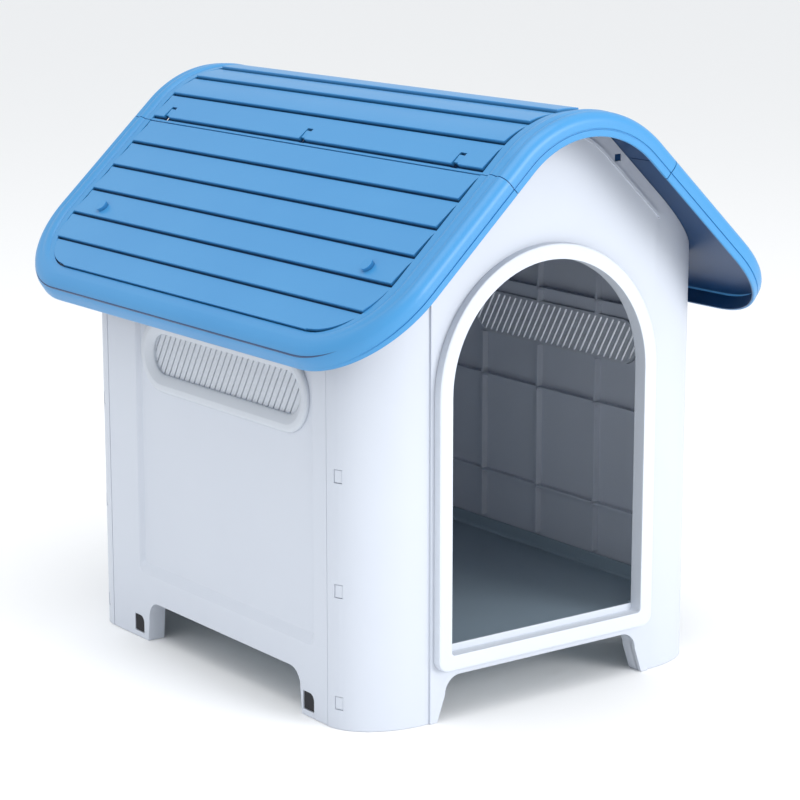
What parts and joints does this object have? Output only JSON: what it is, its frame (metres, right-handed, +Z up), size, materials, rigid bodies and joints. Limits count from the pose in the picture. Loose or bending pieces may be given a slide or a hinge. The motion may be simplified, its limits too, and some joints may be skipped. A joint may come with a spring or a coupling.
{
  "type": "pet kennel",
  "caption": "Moulded plastic pet kennel with a pitched plank-pattern roof in three pieces, arched doorway, slatted side vents, floor tray and corner feet.",
  "frame": {"origin": "on the ground under the middle of the roof", "axes": "+Z up, +Y from the door to the rear, +X to the right as seen from the door"},
  "size_m": [0.6194, 0.74, 0.66],
  "materials": {
    "roof_plastic": "satin blue polypropylene",
    "peg_plastic": "satin dark blue polypropylene",
    "wall_plastic": "satin cool white polypropylene",
    "surround_plastic": "satin cool white polypropylene",
    "vent_plastic": "satin cool white polypropylene",
    "floor_plastic": "satin grey polypropylene",
    "foot_rubber": "matt black rubber"
  },
  "bodies": {
    "root": {"front_panel": "wall_plastic", "rear_panel": "wall_plastic", "door_surround": "surround_plastic", "left_side_panel": "wall_plastic", "right_side_panel": "wall_plastic", "left_vent_grille": "vent_plastic", "right_vent_grille": "vent_plastic", "floor_tray": "floor_plastic", "roof_ridge_cap": "roof_plastic", "foot_plug_front_left": "foot_rubber", "foot_plug_front_right": "foot_rubber", "foot_plug_rear_left": "foot_rubber", "foot_plug_rear_right": "foot_rubber"},
    "left_roof": {"left_roof_panel": "roof_plastic", "roof_lock_peg_front_left": "peg_plastic", "roof_lock_peg_rear_left": "peg_plastic"},
    "right_roof": {"right_roof_panel": "roof_plastic", "roof_lock_peg_front_right": "peg_plastic", "roof_lock_peg_rear_right": "peg_plastic"}
  },
  "joints": [
    {"name": "left_roof_lift", "type": "hinge", "parent": "root", "child": "left_roof", "pos_m": [-0.12083, 0, 0.60059], "axis": [0, 1, 0], "range_deg": [0, 110]},
    {"name": "right_roof_lift", "type": "hinge", "parent": "root", "child": "right_roof", "pos_m": [0.12083, 0, 0.60059], "axis": [0, -1, 0], "range_deg": [0, 110]}
  ]
}
